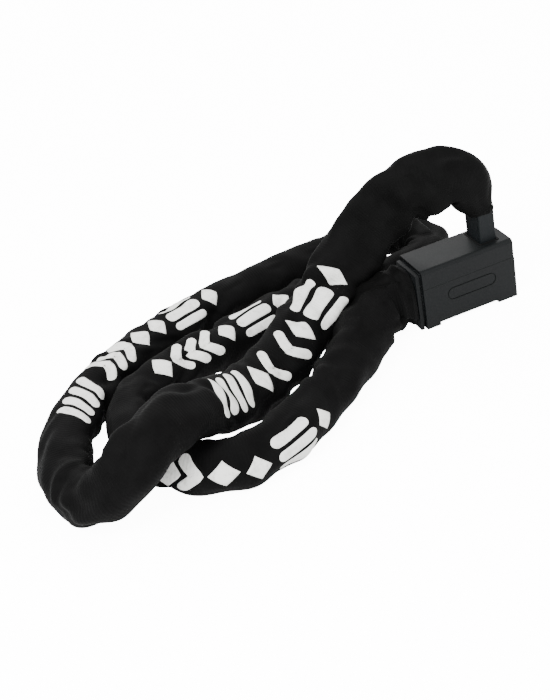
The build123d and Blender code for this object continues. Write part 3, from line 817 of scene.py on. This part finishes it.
def linkShift(places, faces):
    # each link moves whole, by how far the sleeve's line lies below its own middle, once it
    # is above the plug; links are told apart by letting the lowest number spread over faces
    label = np.arange(len(places))
    while True:
        lowest = label[faces].min(1)
        spread = label.copy()
        for column in range(3):
            np.minimum.at(spread, faces[:, column], lowest)
        if (spread == label).all():
            break
        label = spread
    shift = np.zeros_like(places)
    for number in np.unique(label):
        mine = label == number
        middle = places[mine].mean(0)
        nearest = liftLine[np.linalg.norm(liftLine - middle, axis=1).argmin()]
        height = np.clip((middle[2] - linkRise["from"]) / linkRise["over"], 0, 1)
        shift[mine] = (nearest - middle) * height
    return shift


def copyNode(nodeName, name):
    # the node's triangles with doubled points joined, after each link has made its move
    points, triangles = trianglesOf(frame["nodes"][nodeName].data)
    _, first, inverse = np.unique(
        np.round(points, 7), axis=0, return_index=True, return_inverse=True
    )
    faces = inverse.ravel()[triangles]
    a, b, c = faces.T
    faces = faces[(a != b) & (b != c) & (c != a)]
    places = points[first]
    places += linkShift(places, faces)
    mesh = bpy.data.meshes.new(name)
    mesh.from_pydata(places.tolist(), [], faces.tolist())
    mesh.materials.append(materials[slotOf[nodeName]])
    piece = bpy.data.objects.new(name, mesh)
    bpy.context.scene.collection.objects.link(piece)
    return piece


firstRising = 61  # number of the first link inside the stretch that rises with the plug
linkNodes = [name for name in frame["nodes"] if name.startswith("chain_links")]
risingNodes = sorted(name for name in linkNodes if int(name.split("_")[2]) >= firstRising)
for nodeName in risingNodes:
    piece = copyNode(nodeName, "risingLinks" + nodeName.split("_")[2])
    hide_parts(nodeName)
    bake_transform(piece)
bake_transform(sleeveLift)
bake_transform(printLift)
print("rising links made")

# lights: power in W, size and place in m
studio = {
    "floor": "#ffffff",
    "floorGlow": 12.0,  # only the camera sees it, so it whitens the floor and lights nothing
    "key": (30.0, 0.7, (-0.75, -0.55, 1.15)),
    "fill": (9.0, 1.2, (0.95, -0.9, 0.8)),
    "rim": (10.0, 0.8, (0.2, 1.1, 0.9)),
    "aim": (-0.11, 0.0, 0.03),
    "sky": 1.5,
    "floorHalf": 6.0,
}


def makeFloor():
    # painted board, matt white, under the whole object
    size = studio["floorHalf"]
    points = np.array([(-size, -size, 0), (size, -size, 0), (size, size, 0), (-size, size, 0)], float)
    mesh = bpy.data.meshes.new("studioFloor")
    mesh.from_pydata(points.tolist(), [], [(0, 1, 2, 3)])
    material, tree, shader = newMaterial("paintedFloorWhite")
    shader.inputs["Base Color"].default_value = fromHex(studio["floor"])
    shader.inputs["Emission Color"].default_value = fromHex(studio["floor"])
    seen = addNode(tree, "ShaderNodeLightPath")
    glow = addNode(
        tree,
        "ShaderNodeMath",
        {"operation": "MULTIPLY", 1: studio["floorGlow"]},
        {0: seen.outputs["Is Camera Ray"]},
    )
    tree.links.new(glow.outputs[0], shader.inputs["Emission Strength"])
    shader.inputs["Roughness"].default_value = 0.9
    mesh.materials.append(material)
    floor = bpy.data.objects.new("studioFloor", mesh)
    bpy.context.scene.collection.objects.link(floor)


def makeLight(name):
    # a square lamp turned so that it looks at the middle of the object
    power, size, place = studio[name]
    data = bpy.data.lights.new(name, "AREA")
    data.energy = power
    data.size = size
    lamp = bpy.data.objects.new(name, data)
    bpy.context.scene.collection.objects.link(lamp)
    lamp.location = place
    lamp.rotation_mode = "QUATERNION"
    lamp.rotation_quaternion = (Vector(studio["aim"]) - Vector(place)).to_track_quat("-Z", "Y")


def makeSky():
    # even white light from all round
    world = bpy.data.worlds.new("studioSky")
    world.use_nodes = True
    back = world.node_tree.nodes["Background"]
    back.inputs["Color"].default_value = (1, 1, 1, 1)
    back.inputs["Strength"].default_value = studio["sky"]
    bpy.context.scene.world = world


makeFloor()
for lampName in ("key", "fill", "rim"):
    makeLight(lampName)
makeSky()
print("studio set")
